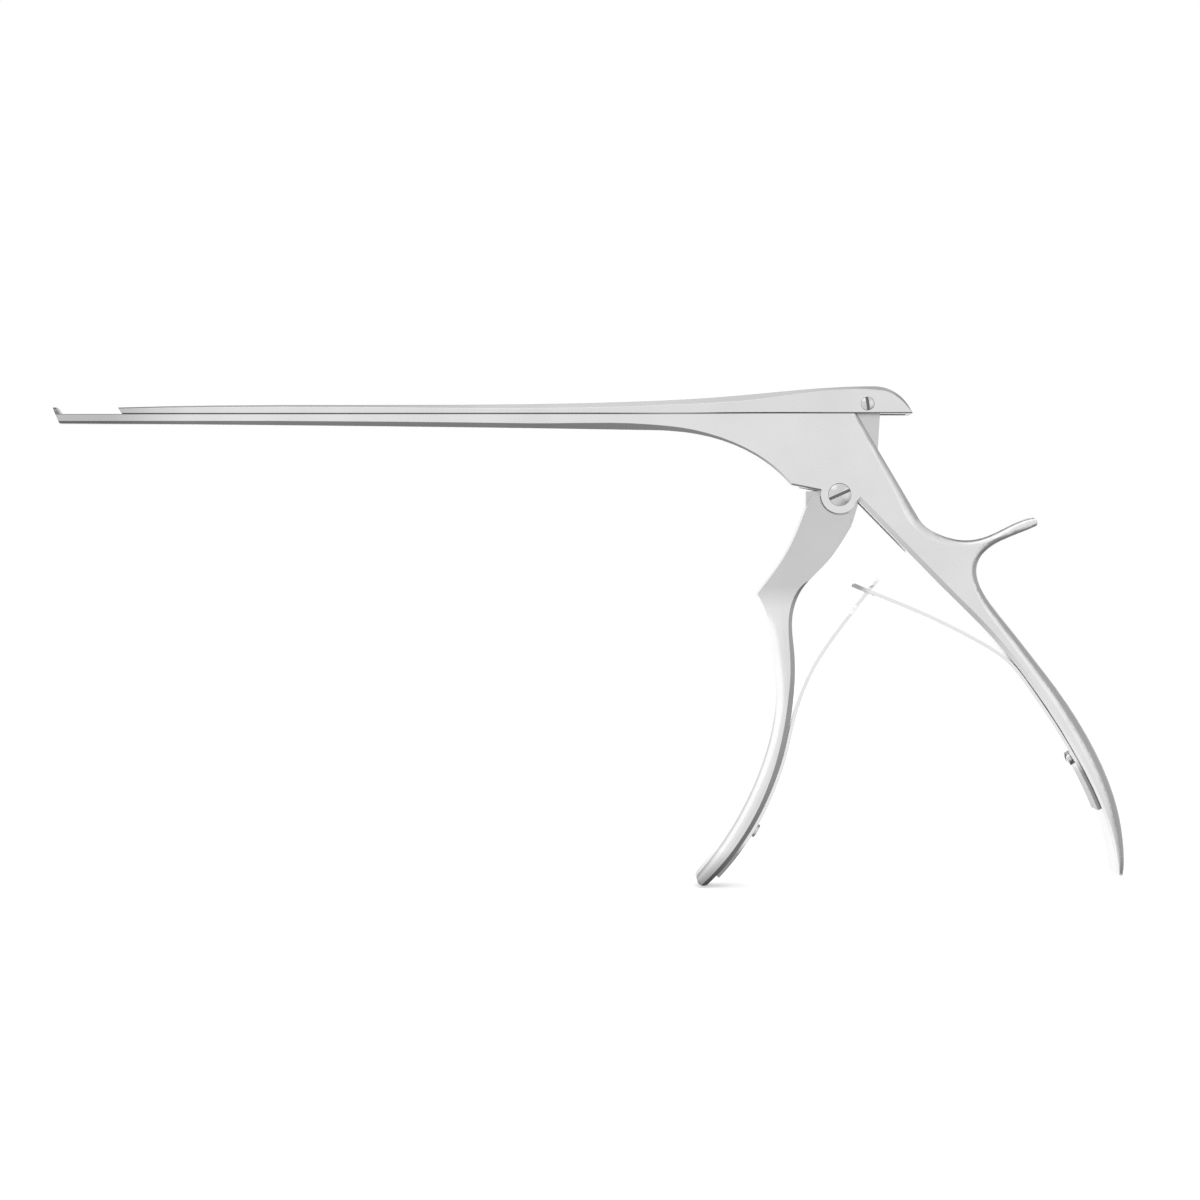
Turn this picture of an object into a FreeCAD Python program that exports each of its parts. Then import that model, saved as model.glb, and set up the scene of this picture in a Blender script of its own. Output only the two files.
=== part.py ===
import FreeCAD, Part
import math
import os
from collections import namedtuple

# Bone rongeur of the sliding shaft kind, in millimetres.
# X runs along the shaft, with the footplate at the negative end, and Z points up.
# The handles hang down, and the instrument is symmetrical about the plane Y = 0 apart from its screws.
# All sizes below are measured from the pivot axis. The finished pieces are moved so that the deepest
# point of the palm saddle, under the horn, is the origin.

# Working end
REACH = 190.9
SLIDE_HEIGHT = 19.9
FOOT_HEIGHT = 1.7
FOOT_LEAN_DEG = 33.0
FOOT_THICKNESS = 0.75
TOE_LEAN_DEG = 23.0
FOOT_CORNER = 1.0
FOOT_ROOT_RADIUS = 0.2
FOOT_ROOT_BULGE = 0.24
JAW_TRAVEL = 15.1
JAW_CLEARANCE = 0.15

# Fixed shaft and body
SHAFT_DEPTH_TIP = 2.3
SHAFT_DEPTH_MIDDLE = 2.85
SHAFT_DEPTH_ROOT = 3.95
SHAFT_WIDTH_TIP = 3.2
SHAFT_WIDTH_ROOT = 5.0
SHAFT_ROOT_X = -46.0
BODY_WIDTH = 8.0
BODY_FULL_WIDTH_X = -14.0
CHIN_X = -11.9
CHIN_Z = 2.4
CHIN_SLOPE_DEG = -49.0
S_CURVE_X = -26.0
S_CURVE_Z = 12.35
BACK_TOP_X = 4.1
BACK_LOW_X = 19.5
BACK_LOW_Z = -6.0
EAR_RADIUS = 4.6
EAR_SCOOP_GAP = 0.3

# Palm saddle: its deepest point. The outline of the horn is given from that point.
SADDLE_X = 33.6
SADDLE_Z = -18.8
HORN_TOP = [(-9.6, 9.3), (-4.6, 7.8), (-0.3, 7.9), (4.7, 9.6), (9.6, 12.1), (13.6, 13.2)]
HORN_UNDER = [(14.3, 11.1), (8.4, 8.7), (4.1, 6.5), (0.9, 3.7), (0.0, 0.0), (0.6, -3.1), (2.8, -6.9)]
HORN_END_BULGE = 0.5
HORN_WIDTH = 9.6
HORN_FLARE_START_X = 36.0
FLARE_SLOPE = 0.12
SADDLE_SPLIT = 2.5

# Grips: points of each inner edge, with the depth of the grip there
REAR_INNER_TOP = [(10.6, -7.6), (17.2, -14.4), (26.2, -23.6)]
REAR_GRIP = [(36.4, -33.8, 5.0), (49.5, -50.5, 4.9), (58.6, -65.5, 4.9), (65.4, -81.0, 3.5), (67.6, -91.6, 1.6)]
REAR_TIP_DROP = 0.9
REAR_GRIP_WIDTH = 10.4
REAR_TIP_WIDTH = 8.6
REAR_FLARE_TOP_Z = -30.0
REAR_FLARE_WIDEST_Z = -68.0
FRONT_GRIP = [(-11.6, -30.0, 6.2), (-11.1, -39.0, 5.1), (-11.2, -48.0, 4.3), (-13.1, -60.5, 4.0),
              (-16.9, -72.5, 4.3), (-22.2, -82.8, 4.3), (-32.3, -95.2, 3.4)]
FRONT_TIP_DROP = 1.3
FRONT_GRIP_WIDTH = 9.8
FRONT_TIP_WIDTH = 8.4
FRONT_FLARE_TOP_Z = -15.0
FRONT_FLARE_LOW_Z = -30.0
FRONT_FLARE_WIDTH = 9.0
FRONT_FLARE_WIDEST_Z = -60.5
NUB = (-20.1, -24.2)
PLATE_FRONT = [(-9.7, -7.3), (-12.8, -14.0), (-16.1, -19.0)]
PLATE_REAR = [(0.7, -11.2), (-2.7, -16.0), (-8.9, -22.7)]
PLATE_SHOULDER_X = -7.2
PLATE_SHOULDER_Z = -0.2
SHOULDER_CHAMFER = 0.7
HEEL_X = 4.6
HEEL_Z = -2.7
HEEL_LOW_X = 3.4
HEEL_LOW_Z = -6.7

# Lever and the slot that it works in
PLATE_WIDTH = 6.6
SLOT_WIDTH = 3.4
TONGUE_CLEARANCE = 0.1
SLOT_FRONT_CLEARANCE = 1.2
SLOT_AHEAD_OF_EAR = 4.0
SLOT_RUNOUT_X = 16.8
SLOT_REAR_Z = 7.5
DRIVE_ABOVE_SLIDE = 2.3
DRIVE_HEIGHT = SLIDE_HEIGHT + DRIVE_ABOVE_SLIDE
DRIVE_SET_BACK = 6.8
ARM_WIDTH = 6.9
ARM_FRONT_TAPER = 0.4
ARM_REAR_TAPER = 0.7
TONGUE_NECK_FRONT = (-4.9, 1.0)
TONGUE_NECK_REAR = (4.9, 0.6)
TONGUE_SHOULDER = (-8.0, 0.9)
TONGUE_ROOT_Z = -12.5
TONGUE_ROOT_FRONT_X = -8.0
TONGUE_ROOT_REAR_X = -0.5
ARM_ABOVE_PIN = 1.25
FORK_CLEARANCE = 0.2
CLOSING_GAP = 0.3

# Screws
PIVOT_SHANK_RADIUS = 1.8
PIVOT_HEAD_RADIUS = 2.75
PIVOT_HEAD_DEPTH = 1.2
PIVOT_SLOT_DEG = 24.0
DRIVE_SHANK_RADIUS = 1.1
DRIVE_HEAD_RADIUS = 1.6
DRIVE_HEAD_DEPTH = 0.9
DRIVE_SLOT_DEG = 98.0
RUNNING_CLEARANCE = 0.05
SCREW_SLOT_WIDTH = 0.7
SCREW_SLOT_DEPTH = 0.6
HEAD_PROUD = 0.3
HEAD_DOME = 0.16

# T-shaped guide between the slider and the fixed shaft
GUIDE_NECK_WIDTH = 0.9
GUIDE_NECK_DEPTH = 0.5
GUIDE_HEAD_WIDTH = 1.8
GUIDE_HEAD_DEPTH = 0.55
GUIDE_CLEARANCE = 0.06
GUIDE_START = 18.0
GUIDE_END_X = -18.0
GUIDE_SPARE = 1.0

# Slider: heights over the sliding face
SLIDER_HEIGHT_TIP = 1.6
SLIDER_HEIGHT_MIDDLE = 2.2
SLIDER_HEIGHT_ROOT = 3.15
SLIDER_HEIGHT_NECK = 4.2
SLIDER_HEIGHT_HEAD = 6.6
SHAFT_MIDDLE_X = -124.0
SLIDER_NECK_X = -27.0
SLIDER_HEAD_X = 8.5
SLIDER_REAR_X = 17.8
SLIDER_REAR_EDGE = 0.15
NOSE_DROP_SHARE = 0.19
HEAD_SLOT_ROOF = 0.4
HEAD_SLOT_AHEAD = 4.6
HEAD_SLOT_STEP = 0.3
HEAD_REAR_WALL = 1.2
CUP_WIDTH = 2.0
CUP_HEIGHT = 0.95
CUP_DEPTH = 3.2

# Leaf springs and their screws
LEAF_THICKNESS = 0.8
LEAF_GAP = 0.05
LEAF_LIFT = 0.25
LEAF_ROOT_WIDTH = 7.0
LEAF_END_WIDTH = 4.4
REAR_LEAF_TAIL_Z = -76.7
REAR_LEAF_SCREW_Z = -64.0
REAR_LEAF_LIFT_Z = -41.0
REAR_LEAF_FREE = [(33.3, -35.4), (20.9, -29.2), (3.7, -22.0)]
FRONT_LEAF_TAIL_Z = -93.0
FRONT_LEAF_SCREW_Z = -81.6
FRONT_LEAF_LIFT_Z = -56.5
FRONT_LEAF_FREE = [(-6.4, -42.5), (0.9, -31.6), (9.5, -20.7)]
FRONT_NECK_WIDTH = 1.6
FRONT_NECK_LOW_Z = -27.0
FRONT_HEAD_WIDTH = 3.4
FRONT_HEAD_LENGTH = 1.9
FRONT_HEAD_BEVEL = 0.4
FRONT_NECK_RUN = 2.0
FORK_MOUTH_WIDTH = 2.4
FORK_MOUTH_DEPTH = 5.6
LEAF_ROOT_STEPS = 6
LEAF_STEPS = 24
LEAF_SCREW_RADIUS = 1.2
LEAF_HEAD_RADIUS = 1.8
LEAF_HEAD_DEPTH = 1.1
LEAF_SCREW_LENGTH = 3.0
LEAF_HOLE_CLEARANCE = 0.1
LEAF_HOLE_SPARE = 0.2
LEAF_HEAD_GAP = 0.1

# Rims: how the flanks end at the outline. A stop is the share of the edge's length, the depth of the rim,
# its drop below the flank, and how far it is lifted over the flank where it fades out.
ROUND_START_DEG = 4.0
SCURVE_RIM = [(0.0, 0.45, 0.45, 0), (0.5, 0.5, 0.45, 0), (1.0, 1.3, 0.9, 0)]
SHAFT_RIM = [(0.0, 1.3, 0.9, 0), (0.6, 1.0, 0.8, 0), (0.78, 0.9, 0.7, 0), (0.88, 0.6, 0.5, 0),
             (1.0, 0.6, 0.5, 0)]
BELLY_RIM = [(0.0, 0.4, 0.4, 0), (1.0, 0.4, 0.4, 0)]
BODY_REAR_RIM = [(0.0, 1.0, 0.5, 0), (1.0, 2.4, 0.9, 0)]
HORN_TOP_RIM = [(0.0, 2.4, 0.9, 0), (0.4, 1.6, 1.2, 0), (1.0, 0.9, 0.9, 0)]
HORN_UNDER_RIM = [(0.0, 0.8, 0.7, 0), (0.5, 1.3, 1.2, 0), (1.0, 2.0, 1.6, 0)]
BACK_RIM = [(0.0, 2.0, 1.6, 0), (0.5, 3.2, 2.4, 0), (0.85, 2.8, 2.4, 0), (1.0, 1.0, 1.4, 0)]
REAR_INNER_RIM = [(0.0, 1.1, 0.9, 0), (0.3, 1.1, 0.9, 0), (1.0, 0.4, 0.5, 0)]
FINGER_RIM = [(0.0, 3.4, 0.5, 0), (0.15, 3.0, 1.1, 0), (0.4, 2.5, 1.8, 0), (1.0, 2.0, 1.7, 0)]
FINGER_RIM_FADE = (5.0, 0.8)
FRONT_INNER_RIM = [(0.18, 0.8, 0.5, 0.5), (0.25, 0.9, 0.5, 0), (0.5, 1.3, 0.8, 0), (1.0, 1.0, 0.8, 0)]
SLIDER_TOP_RIM = [(0.0, 0.35, 0.35, 0), (0.3, 0.5, 0.45, 0), (0.6, 1.2, 0.9, 0), (0.85, 1.3, 1.0, 0),
                  (1.0, 0.9, 0.8, 0)]
SLIDER_NOSE_RIM = [(0.0, 0.9, 0.8, 0), (0.6, 0.7, 0.6, 0), (1.0, 0.1, 0.3, 0)]
SLIDER_BOTTOM_RIM = [(0.0, 0.2, 0.25, 0), (1.0, 0.2, 0.25, 0)]
RIM_STEP_LONG = 24.0
RIM_STEP_SHORT = 8.0
RIM_REACH = 1.2
RIM_MARGIN = 1.2
RIM_OVERRUN = 0.12

OVERRUN = 1.0
FAR = 60.0
ACROSS = FreeCAD.Vector(0, 1, 0)
UP = FreeCAD.Vector(0, 0, 1)
ALONG = FreeCAD.Vector(1, 0, 0)

Station = namedtuple("Station", "spot along outward depth drop lift")


def at(x, z, y=0.0):
    """A point of the side view, at the depth y."""
    return FreeCAD.Vector(x, y, z)


def points(pairs, x=0.0, z=0.0):
    """Side-view points from pairs of numbers, counted from the point (x, z)."""
    return [at(x + pair[0], z + pair[1]) for pair in pairs]


def heading(degrees):
    """The unit vector of the side view at this angle from +X."""
    angle = math.radians(degrees)
    return at(math.cos(angle), math.sin(angle))


def line(start, end):
    return Part.LineSegment(start, end).toShape()


def arc(start, middle, end):
    return Part.Arc(start, middle, end).toShape()


def spline(through, first=None, last=None):
    """A smooth edge through the points, with its end directions where they are given."""
    curve = Part.BSplineCurve()
    if first is None and last is None:
        curve.interpolate(Points=through)
    else:
        tangents = [FreeCAD.Vector(0, 0, 0)] * len(through)
        flags = [False] * len(through)
        if first is not None:
            tangents[0] = first
            flags[0] = True
        if last is not None:
            tangents[-1] = last
            flags[-1] = True
        curve.interpolate(Points=through, Tangents=tangents, TangentFlags=flags)
    return curve.toShape()


def chain(corners):
    """Straight edges from corner to corner."""
    return [line(corners[i], corners[i + 1]) for i in range(len(corners) - 1)]


def slab(edges, width):
    """A closed side view as a slab of this width about the plane of symmetry."""
    solid = Part.Face(Part.Wire(edges)).extrude(ACROSS * width)
    solid.translate(ACROSS * (-width / 2))
    return solid


def polygon_slab(corners, width):
    return slab(chain(corners + [corners[0]]), width)


def half_widths_block(stations, span, low, high):
    """A block whose half width follows stations of (place, half width).

    span is ALONG for a plan seen from above, with low and high in Z, or UP for a view from the front,
    with low and high in X.
    """
    def spot(place, side):
        if span == ALONG:
            return FreeCAD.Vector(place, side, low)
        return FreeCAD.Vector(low, side, place)

    rise = UP if span == ALONG else ALONG
    right = []
    left = []
    for kind, run in stations:
        if kind == "line":
            right += chain([spot(place, half) for place, half in run])
            left += chain([spot(place, -half) for place, half in run])
        else:
            right.append(spline([spot(place, half) for place, half in run], kind[0], kind[1]))
            mirrored = [FreeCAD.Vector(t.x, -t.y, t.z) for t in kind]
            left.append(spline([spot(place, -half) for place, half in run], mirrored[0], mirrored[1]))
    first = stations[0][1][0]
    last = stations[-1][1][-1]
    ends = [line(spot(last[0], last[1]), spot(last[0], -last[1])),
            line(spot(first[0], -first[1]), spot(first[0], first[1]))]
    edges = Part.sortEdges(right + left + ends)[0]
    return Part.Face(Part.Wire(edges)).extrude(rise * (high - low))


def rod(radius, base, axis, length):
    return Part.makeCylinder(radius, length, base, axis)


def slotted_screw(head_radius, head_depth, shank_radius, shank_length, slot_deg):
    """A screw with its head's face at the origin, its shank along +Y and its slot at an angle in XZ."""
    dome = HEAD_DOME * head_radius
    dome_radius = (head_radius ** 2 + dome ** 2) / (2 * dome)
    ball = Part.makeSphere(dome_radius, ACROSS * dome_radius)
    head = rod(head_radius, at(0, 0), ACROSS, head_depth).common(ball)
    shank = rod(shank_radius, at(0, 0, head_depth), ACROSS, shank_length)
    slot = Part.makeBox(4 * head_radius, 2 * SCREW_SLOT_DEPTH, SCREW_SLOT_WIDTH,
                        FreeCAD.Vector(-2 * head_radius, -SCREW_SLOT_DEPTH, -SCREW_SLOT_WIDTH / 2))
    slot.rotate(at(0, 0), ACROSS, -slot_deg)
    return head.fuse(shank).removeSplitter().cut(slot)


def place_along(shape, point, direction):
    """Moves a shape whose axis is +Y at the origin to a point and a direction of the side view."""
    moved = shape.copy()
    moved.Placement = FreeCAD.Placement(point, FreeCAD.Rotation(ACROSS, direction))
    return moved


def turned(shape, degrees):
    """A shape turned about the pivot, counterclockwise as the side view shows it."""
    moved = shape.copy()
    moved.rotate(at(0, 0), ACROSS, -degrees)
    return moved


def closing_angle():
    """How far the lever turns while the slider makes its whole travel."""
    opened = math.atan2(DRIVE_SET_BACK, DRIVE_HEIGHT)
    closed = math.atan2(JAW_TRAVEL - DRIVE_SET_BACK, DRIVE_HEIGHT)
    return math.degrees(opened + closed)


def grip_back(inner, stations, side=1):
    """Points of a grip's outer edge: each station's depth, square to the inner edge, on one side of it."""
    curve = inner.Curve
    back = []
    for x, z, depth in stations:
        spot = at(x, z)
        tangent = curve.tangent(curve.parameter(spot))[0]
        back.append(spot + at(-tangent.z, tangent.x) * (side * depth))
    return back


def end_tangent(edge, at_end):
    parameter = edge.LastParameter if at_end else edge.FirstParameter
    return edge.tangentAt(parameter)


def between(stops, share):
    """The values at a share of the way, in straight steps between stops of (share, value, value, ...)."""
    for before, after in zip(stops, stops[1:]):
        if share <= after[0]:
            part = (share - before[0]) / (after[0] - before[0])
            return [low + (high - low) * part for low, high in zip(before[1:], after[1:])]
    return list(stops[-1][1:])


def rim_stations(edge, side, stops, step):
    """Stations of a rim along an edge of a side view, from the share of its first stop to that of its last.

    side is 1 where the way out of the piece is on the left of the edge's own direction, and -1 on the right.
    """
    start = stops[0][0]
    span = stops[-1][0] - start
    count = max(2, round(edge.Length * span / step))
    stations = []
    for number in range(count + 1):
        share = start + span * number / count
        parameter = edge.getParameterByLength(edge.Length * share)
        along = edge.tangentAt(parameter)
        outward = at(-along.z, along.x) * side
        stations.append(Station(edge.valueAt(parameter), along, outward, *between(stops, share)))
    return stations


def reached(station, length, lift=0.0):
    """A station moved on in a straight line, and lifted over the flank."""
    return station._replace(spot=station.spot + station.along * length, lift=station.lift + lift)


def half_width(widths, spot):
    """Half of the piece's width at a point of the side view."""
    return line(at(spot.x, spot.z, -FAR), at(spot.x, spot.z, FAR)).common(widths).BoundBox.YMax


def parabola(start, peak, end, overrun):
    """A parabola from start to end, tangent to the lines to its peak, run on past both ends."""
    curve = Part.BezierCurve()
    ends = (start + end) * (overrun * (1 + overrun))
    middle = peak * (1 + 2 * overrun + 2 * overrun ** 2) - ends
    poles = []
    for share in (-overrun, 1 + overrun):
        poles.append(start * (1 - share) ** 2 + peak * (2 * share * (1 - share)) + end * share ** 2)
    curve.setPoles([poles[0], middle, poles[1]])
    return curve.toShape()


def rim_section(station, widths, start_deg):
    """The closed section of what a rim takes off: past its rounding or its bevel and out of both faces."""
    inside = station.spot - station.outward * station.depth
    low = at(station.spot.x, station.spot.z, half_width(widths, station.spot) - station.drop + station.lift)
    high = at(inside.x, inside.z, half_width(widths, inside) + station.lift)
    slope = math.atan2(station.drop, station.depth)
    bend = max(0.0, slope - math.radians(start_deg)) if start_deg else 0.0
    up = at(station.outward.x * math.sin(slope), station.outward.z * math.sin(slope), math.cos(slope))
    peak = (low + high) * 0.5 + up * ((high - low).Length / 2 * math.tan(bend))
    rim = parabola(low, peak, high, RIM_OVERRUN)
    first = rim.valueAt(rim.FirstParameter)
    last = rim.valueAt(rim.LastParameter)
    above = last + ACROSS * RIM_MARGIN
    outside = first + station.outward * RIM_MARGIN
    corner = at(outside.x, outside.z, above.y)
    return Part.Wire([rim, line(last, above), line(above, corner), line(corner, outside), line(outside, first)])


def with_rim(solid, widths, stations, start_deg):
    """A solid with one rim cut on both of its sides."""
    cutter = Part.makeLoft([rim_section(station, widths, start_deg) for station in stations], True, False)
    return solid.cut(cutter).cut(cutter.mirror(at(0, 0), ACROSS))


def blank(outline, widths):
    """The solid between an outline of the side view and the widths across it."""
    return slab(list(outline.values()), FAR).common(widths).Solids[0]


# Frame


def rear_inner_edge():
    """The inner edge of the rear handle, from the ear to the tip."""
    ear_point = heading(-16.0) * EAR_RADIUS
    grip = [at(x, z) for x, z, depth in REAR_GRIP]
    return spline([ear_point] + points(REAR_INNER_TOP) + grip)


def ear_front_point():
    """Where the body's lower edge meets the ear."""
    return heading(168.0) * EAR_RADIUS


def shaft_bottom(x_start):
    """Points of the shaft's lower edge, from the root to its front."""
    return [at(SHAFT_ROOT_X, SLIDE_HEIGHT - SHAFT_DEPTH_ROOT),
            at(SHAFT_MIDDLE_X, SLIDE_HEIGHT - SHAFT_DEPTH_MIDDLE),
            at(x_start, SLIDE_HEIGHT - SHAFT_DEPTH_TIP)]


def frame_outline():
    """The frame's side view, from the footplate over the body and the horn and back along the inside."""
    lean = math.tan(math.radians(FOOT_LEAN_DEG))
    toe_lean = math.tan(math.radians(TOE_LEAN_DEG))
    foot_top = at(-REACH - FOOT_HEIGHT * lean, SLIDE_HEIGHT + FOOT_HEIGHT)
    foot_front = foot_top - ALONG * FOOT_THICKNESS
    toe = foot_front + at((FOOT_HEIGHT + SHAFT_DEPTH_TIP) * toe_lean, -FOOT_HEIGHT - SHAFT_DEPTH_TIP)
    root_up = at(-REACH - FOOT_ROOT_RADIUS * lean, SLIDE_HEIGHT + FOOT_ROOT_RADIUS)
    root_along = at(-REACH + FOOT_ROOT_RADIUS, SLIDE_HEIGHT)
    root_middle = (root_up + root_along) * 0.5 - (ALONG + UP) * (FOOT_ROOT_RADIUS * FOOT_ROOT_BULGE)
    back_top = at(BACK_TOP_X, SLIDE_HEIGHT)
    back_low = at(BACK_LOW_X, BACK_LOW_Z)
    horn_top = points(HORN_TOP, SADDLE_X, SADDLE_Z)
    horn_under = points(HORN_UNDER, SADDLE_X, SADDLE_Z)
    horn_end = (horn_top[-1] + horn_under[0]) * 0.5 + (horn_top[-1] - horn_top[-2]).normalize() * HORN_END_BULGE

    inner = rear_inner_edge()
    back = grip_back(inner, REAR_GRIP)
    horn_edge = spline(horn_under)
    back_edge = spline([horn_under[-1]] + back, end_tangent(horn_edge, True))
    tip = at(REAR_GRIP[-1][0], REAR_GRIP[-1][1]) + end_tangent(inner, True) * REAR_TIP_DROP
    chin = at(CHIN_X, CHIN_Z)
    bottom = shaft_bottom(toe.x)
    shaft_edge = spline(bottom)
    root = bottom[0]

    s_curve = [chin, at(S_CURVE_X, S_CURVE_Z), root]
    return {
        "foot_crest": line(foot_front, foot_top),
        "foot_face": line(foot_top, root_up),
        "foot_root": arc(root_up, root_middle, root_along),
        "deck": line(root_along, back_top),
        "rear": line(back_top, back_low),
        "horn_top": spline([back_low] + horn_top, back_low - back_top, None),
        "horn_end": arc(horn_top[-1], horn_end, horn_under[0]),
        "horn_under": horn_edge,
        "back": back_edge,
        "tip": arc(back[-1], tip, inner.Vertexes[-1].Point),
        "inner": inner,
        "ear": arc(inner.Vertexes[0].Point, at(0, -EAR_RADIUS), ear_front_point()),
        "belly": line(ear_front_point(), chin),
        "s_curve": spline(s_curve, heading(180.0 + CHIN_SLOPE_DEG), end_tangent(shaft_edge, False)),
        "shaft": shaft_edge,
        "toe": line(toe, foot_front),
    }


def shaft_plan(start_x):
    """The half widths of the shaft and of its swell into the body, as stations for a plan."""
    slope = FreeCAD.Vector(SHAFT_ROOT_X + REACH, (SHAFT_WIDTH_ROOT - SHAFT_WIDTH_TIP) / 2, 0)
    shaft = ("line", [(start_x, SHAFT_WIDTH_TIP / 2), (-REACH, SHAFT_WIDTH_TIP / 2),
                      (SHAFT_ROOT_X, SHAFT_WIDTH_ROOT / 2)])
    swell = ((slope, ALONG), [(SHAFT_ROOT_X, SHAFT_WIDTH_ROOT / 2), (BODY_FULL_WIDTH_X, BODY_WIDTH / 2)])
    return shaft, swell


def frame_width_block():
    """Widths of the frame: a plan for shaft, body and horn, and a front view for the grip below them."""
    shaft, swell = shaft_plan(-REACH - FOOT_HEIGHT - FOOT_THICKNESS - 2 * OVERRUN)
    body = ("line", [(BODY_FULL_WIDTH_X, BODY_WIDTH / 2), (HORN_FLARE_START_X, BODY_WIDTH / 2)])
    horn_end_x = SADDLE_X + HORN_TOP[-1][0] + 4 * OVERRUN
    flare = ((ALONG, FreeCAD.Vector(1, FLARE_SLOPE, 0)),
             [(HORN_FLARE_START_X, BODY_WIDTH / 2), (horn_end_x, HORN_WIDTH / 2)])
    split_z = SADDLE_Z + SADDLE_SPLIT
    upper = half_widths_block([shaft, swell, body, flare], ALONG, split_z, SLIDE_HEIGHT + FOOT_HEIGHT + OVERRUN)
    low_z = REAR_GRIP[-1][1] - REAR_TIP_DROP - OVERRUN
    straight = ("line", [(split_z, BODY_WIDTH / 2), (REAR_FLARE_TOP_Z, BODY_WIDTH / 2)])
    grip = ((UP * -1, FreeCAD.Vector(0, -FLARE_SLOPE, -1)),
            [(REAR_FLARE_TOP_Z, BODY_WIDTH / 2), (REAR_FLARE_WIDEST_Z, REAR_GRIP_WIDTH / 2),
             (low_z, REAR_TIP_WIDTH / 2)])
    lower = half_widths_block([straight, grip], UP, -FAR, REAR_GRIP[-1][0] + FAR)
    return upper.fuse(lower).removeSplitter()


def lever_slot_corners():
    """The side view of the slot in the frame, which the lever's tongue sweeps."""
    swept = turned(Part.Vertex(at(DRIVE_SET_BACK - ARM_WIDTH / 2, DRIVE_HEIGHT)), closing_angle()).Point
    front_low = at(-EAR_RADIUS - SLOT_AHEAD_OF_EAR, -EAR_RADIUS)
    front_top = at(swept.x - SLOT_FRONT_CLEARANCE, SLIDE_HEIGHT)
    above = UP * FAR
    inner = rear_inner_edge()
    runout = height_point(inner, x=SLOT_RUNOUT_X)
    share = (SLIDE_HEIGHT - SLOT_REAR_Z) / (SLIDE_HEIGHT - BACK_LOW_Z)
    rear = at(BACK_TOP_X + (BACK_LOW_X - BACK_TOP_X) * share, SLOT_REAR_Z)
    outward = (rear - runout).normalize()
    return [front_low, front_top, front_top + above, at(FAR, SLIDE_HEIGHT) + above,
            rear + outward * FAR, runout - outward * FAR, at(front_low.x, -FAR)]


def height_point(edge, x=None, z=None):
    """The point of an edge at this x, or at this z."""
    if x is not None:
        cut = line(at(x, -2 * FAR), at(x, 2 * FAR))
    else:
        cut = line(at(-2 * FAR, z), at(2 * FAR, z))
    return edge.distToShape(cut)[1][0][0]


def guide(clearance, x_start, x_end):
    """The T-shaped guide under the sliding face, fuller by the clearance for the groove."""
    neck = GUIDE_NECK_WIDTH / 2 + clearance
    head = GUIDE_HEAD_WIDTH / 2 + clearance
    shoulder = SLIDE_HEIGHT - GUIDE_NECK_DEPTH + clearance
    floor = SLIDE_HEIGHT - GUIDE_NECK_DEPTH - GUIDE_HEAD_DEPTH - clearance
    corners = [(-neck, SLIDE_HEIGHT), (-neck, shoulder), (-head, shoulder), (-head, floor),
               (head, floor), (head, shoulder), (neck, shoulder), (neck, SLIDE_HEIGHT)]
    section = [FreeCAD.Vector(x_start, y, z) for y, z in corners]
    return Part.Face(Part.Wire(chain(section + [section[0]]))).extrude(ALONG * (x_end - x_start))


def rounded_foot(body, crest):
    """Rounds the footplate's two upper corners."""
    corners = [edge for edge in body.Edges
               if abs(edge.Length - crest.Length) < 0.01 and edge.distToShape(crest)[0] < SHAFT_WIDTH_TIP
               and abs(edge.BoundBox.ZMin - crest.BoundBox.ZMin) < 0.01 and edge.BoundBox.YLength < 0.01]
    return body.makeFillet(FOOT_CORNER, corners)


def with_frame_rims(body, outline, widths):
    """The frame with its bevels along the shaft and the grip's inside, and its rounded rims elsewhere."""
    under = rim_stations(outline["s_curve"], 1, SCURVE_RIM, RIM_STEP_SHORT)
    under += rim_stations(outline["shaft"], 1, SHAFT_RIM, RIM_STEP_LONG)[1:]
    under = [reached(under[0], -RIM_REACH)] + under + [reached(under[-1], RIM_REACH)]
    belly = rim_stations(outline["belly"], 1, BELLY_RIM, RIM_STEP_LONG)
    belly.append(reached(belly[-1], RIM_REACH))
    top = rim_stations(outline["rear"], 1, BODY_REAR_RIM, RIM_STEP_SHORT)
    top += rim_stations(outline["horn_top"], 1, HORN_TOP_RIM, RIM_STEP_SHORT)[1:]
    top = [reached(top[0], -RIM_REACH)] + top + [reached(top[-1], RIM_REACH)]
    back = rim_stations(outline["horn_under"], 1, HORN_UNDER_RIM, RIM_STEP_SHORT)
    back += rim_stations(outline["back"], 1, BACK_RIM, RIM_STEP_SHORT)[1:]
    back = [reached(back[0], -RIM_REACH)] + back + [reached(back[-1], RIM_REACH)]
    inner = rim_stations(outline["inner"], -1, REAR_INNER_RIM, RIM_STEP_SHORT)
    inner.append(reached(inner[-1], RIM_REACH))
    for stations in (under, belly, inner):
        body = with_rim(body, widths, stations, 0.0)
    for stations in (top, back):
        body = with_rim(body, widths, stations, ROUND_START_DEG)
    return body


def make_frame():
    outline = frame_outline()
    widths = frame_width_block()
    body = rounded_foot(blank(outline, widths), outline["foot_crest"])
    body = with_frame_rims(body, outline, widths)
    slot_corners = lever_slot_corners()
    body = body.cut(polygon_slab(slot_corners, SLOT_WIDTH))
    groove_start = -REACH + GUIDE_START
    body = body.cut(guide(GUIDE_CLEARANCE, groove_start, slot_corners[1].x + OVERRUN))
    return body


# Lever


def drive_point():
    """The axis of the cross screw at rest."""
    return at(DRIVE_SET_BACK, DRIVE_HEIGHT)


def front_inner_edge():
    """The inner edge of the front handle, from the heel under the ear to the tip."""
    grip = [at(x, z) for x, z, depth in FRONT_GRIP]
    return spline([at(HEEL_LOW_X, HEEL_LOW_Z)] + points(PLATE_REAR) + grip)


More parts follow.
